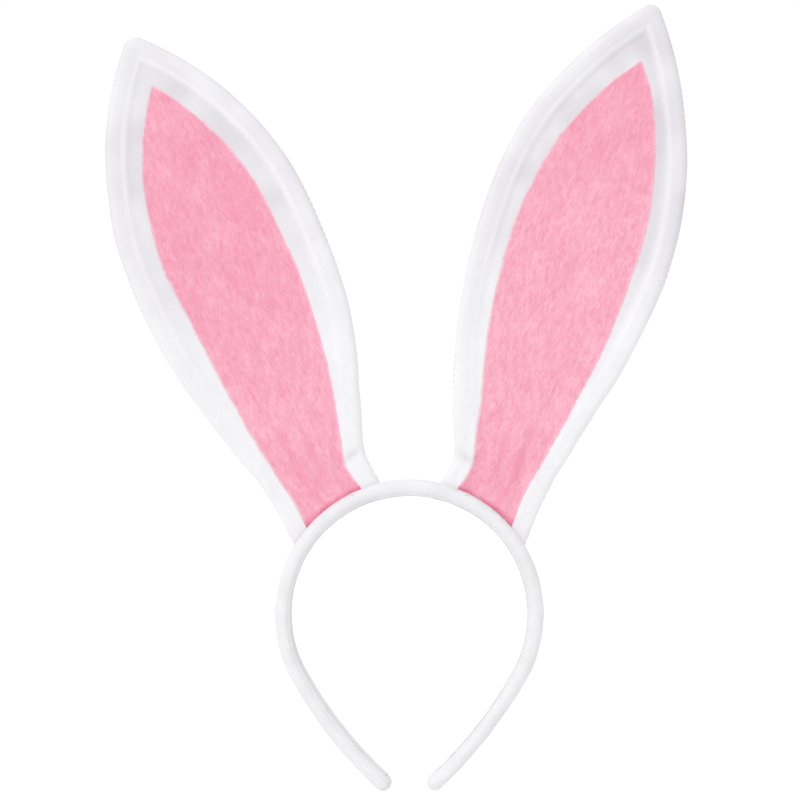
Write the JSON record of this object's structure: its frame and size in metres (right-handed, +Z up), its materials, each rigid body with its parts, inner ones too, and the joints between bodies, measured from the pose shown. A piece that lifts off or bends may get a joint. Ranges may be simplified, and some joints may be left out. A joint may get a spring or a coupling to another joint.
{
  "type": "animal ears headband",
  "caption": "Plush-covered sprung headband with tall padded rabbit ears, contrasting inner-ear panels and a bendable wire frame inside, so that the ears tilt and fold.",
  "frame": {"origin": "inner apex of the crown, on the band's inner face, where it rests on top of the head", "axes": "+Z up from the head through the crown, -Y is the front, which the pink panels face, +X to the right as seen from the front"},
  "size_m": [0.2767, 0.0138, 0.3731],
  "materials": {
    "white_plush": "short-pile white plush",
    "pink_plush": "short-pile pink plush, nap brushed up the ear",
    "lining_tape": "close white tape",
    "white_thread": "white sewing thread",
    "core_plastic": "moulded, matt",
    "ear_foam": "soft foam interlining",
    "frame_wire": "soft steel wire",
    "ferrule_metal": "crimped sleeve"
  },
  "bodies": {
    "headband": {"crown_core": "core_plastic", "crown_sleeve": "white_plush", "crown_lining": "lining_tape", "left_tacking_stitches": "white_thread", "right_tacking_stitches": "white_thread"},
    "left_arm": {"left_arm_core": "core_plastic", "left_arm_sleeve": "white_plush", "left_arm_lining": "lining_tape", "left_arm_end_cap": "white_plush"},
    "left_ear": {"left_ear_front_panel": "white_plush", "left_ear_back_panel": "white_plush", "left_ear_pink_panel": "pink_plush", "left_ear_edge_seam": "white_thread", "left_ear_foam": "ear_foam", "left_ear_wire": "frame_wire", "left_ear_wire_ferrule": "ferrule_metal"},
    "left_ear_tip": {"left_tip_front_panel": "white_plush", "left_tip_back_panel": "white_plush", "left_tip_pink_panel": "pink_plush", "left_tip_edge_seam": "white_thread", "left_tip_foam": "ear_foam", "left_tip_wire": "frame_wire"},
    "right_arm": {"right_arm_core": "core_plastic", "right_arm_sleeve": "white_plush", "right_arm_lining": "lining_tape", "right_arm_end_cap": "white_plush"},
    "right_ear": {"right_ear_front_panel": "white_plush", "right_ear_back_panel": "white_plush", "right_ear_pink_panel": "pink_plush", "right_ear_edge_seam": "white_thread", "right_ear_foam": "ear_foam", "right_ear_wire": "frame_wire", "right_ear_wire_ferrule": "ferrule_metal"},
    "right_ear_tip": {"right_tip_front_panel": "white_plush", "right_tip_back_panel": "white_plush", "right_tip_pink_panel": "pink_plush", "right_tip_edge_seam": "white_thread", "right_tip_foam": "ear_foam", "right_tip_wire": "frame_wire"}
  },
  "joints": [
    {"name": "left_arm_flex", "type": "hinge", "parent": "headband", "child": "left_arm", "pos_m": [-0.05432, 0, -0.03072], "axis": [0, 1, 0], "range_deg": [-2, 28], "stiffness_Nm_per_rad": 0.6},
    {"name": "right_arm_flex", "type": "hinge", "parent": "headband", "child": "right_arm", "pos_m": [0.05432, 0, -0.03072], "axis": [0, -1, 0], "range_deg": [-2, 28], "stiffness_Nm_per_rad": 0.6},
    {"name": "left_ear_tilt", "type": "hinge", "parent": "headband", "child": "left_ear", "pos_m": [-0.03679, 0, 0.00111], "axis": [0.8415, 0, 0.5402], "range_deg": [-45, 50]},
    {"name": "right_ear_tilt", "type": "hinge", "parent": "headband", "child": "right_ear", "pos_m": [0.03679, 0, 0.00111], "axis": [0.8415, 0, -0.5402], "range_deg": [-45, 50]},
    {"name": "left_ear_fold", "type": "hinge", "parent": "left_ear", "child": "left_ear_tip", "pos_m": [-0.08938, 0, 0.12082], "axis": [0.9135, 0, 0.4067], "range_deg": [-45, 65]},
    {"name": "right_ear_fold", "type": "hinge", "parent": "right_ear", "child": "right_ear_tip", "pos_m": [0.07953, 0, 0.12474], "axis": [0.9426, 0, -0.3338], "range_deg": [-45, 65]}
  ]
}
